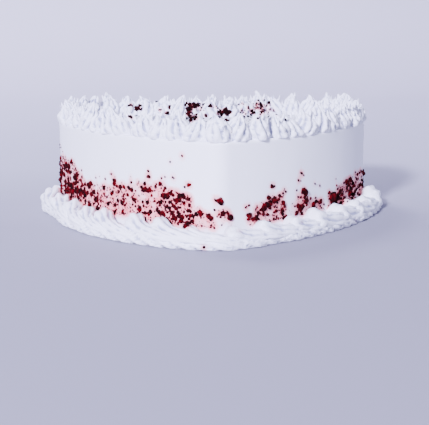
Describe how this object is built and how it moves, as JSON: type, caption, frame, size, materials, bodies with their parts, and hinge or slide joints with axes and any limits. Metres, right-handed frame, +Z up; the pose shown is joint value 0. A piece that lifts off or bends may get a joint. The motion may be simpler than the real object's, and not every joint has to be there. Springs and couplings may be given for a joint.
{
  "type": "layer cake",
  "caption": "Heart-shaped cake in smooth white cream, with a piped star border on top, a piped shell border round the foot and red sponge crumbs on its sides and top.",
  "frame": {"origin": "under the middle of the cake's box, on the plane it rests on", "axes": "+Z up; the point of the heart faces -Y and its two lobes +Y; +X to the right, seen from the point"},
  "size_m": [0.24, 0.216, 0.0778],
  "materials": {
    "cream_coat": "soft satin whipped cream",
    "piped_cream": "soft satin piped cream"
  },
  "bodies": {
    "root": {"cake": "cream_coat", "top_border": "piped_cream", "base_border": "piped_cream"}
  },
  "joints": []
}
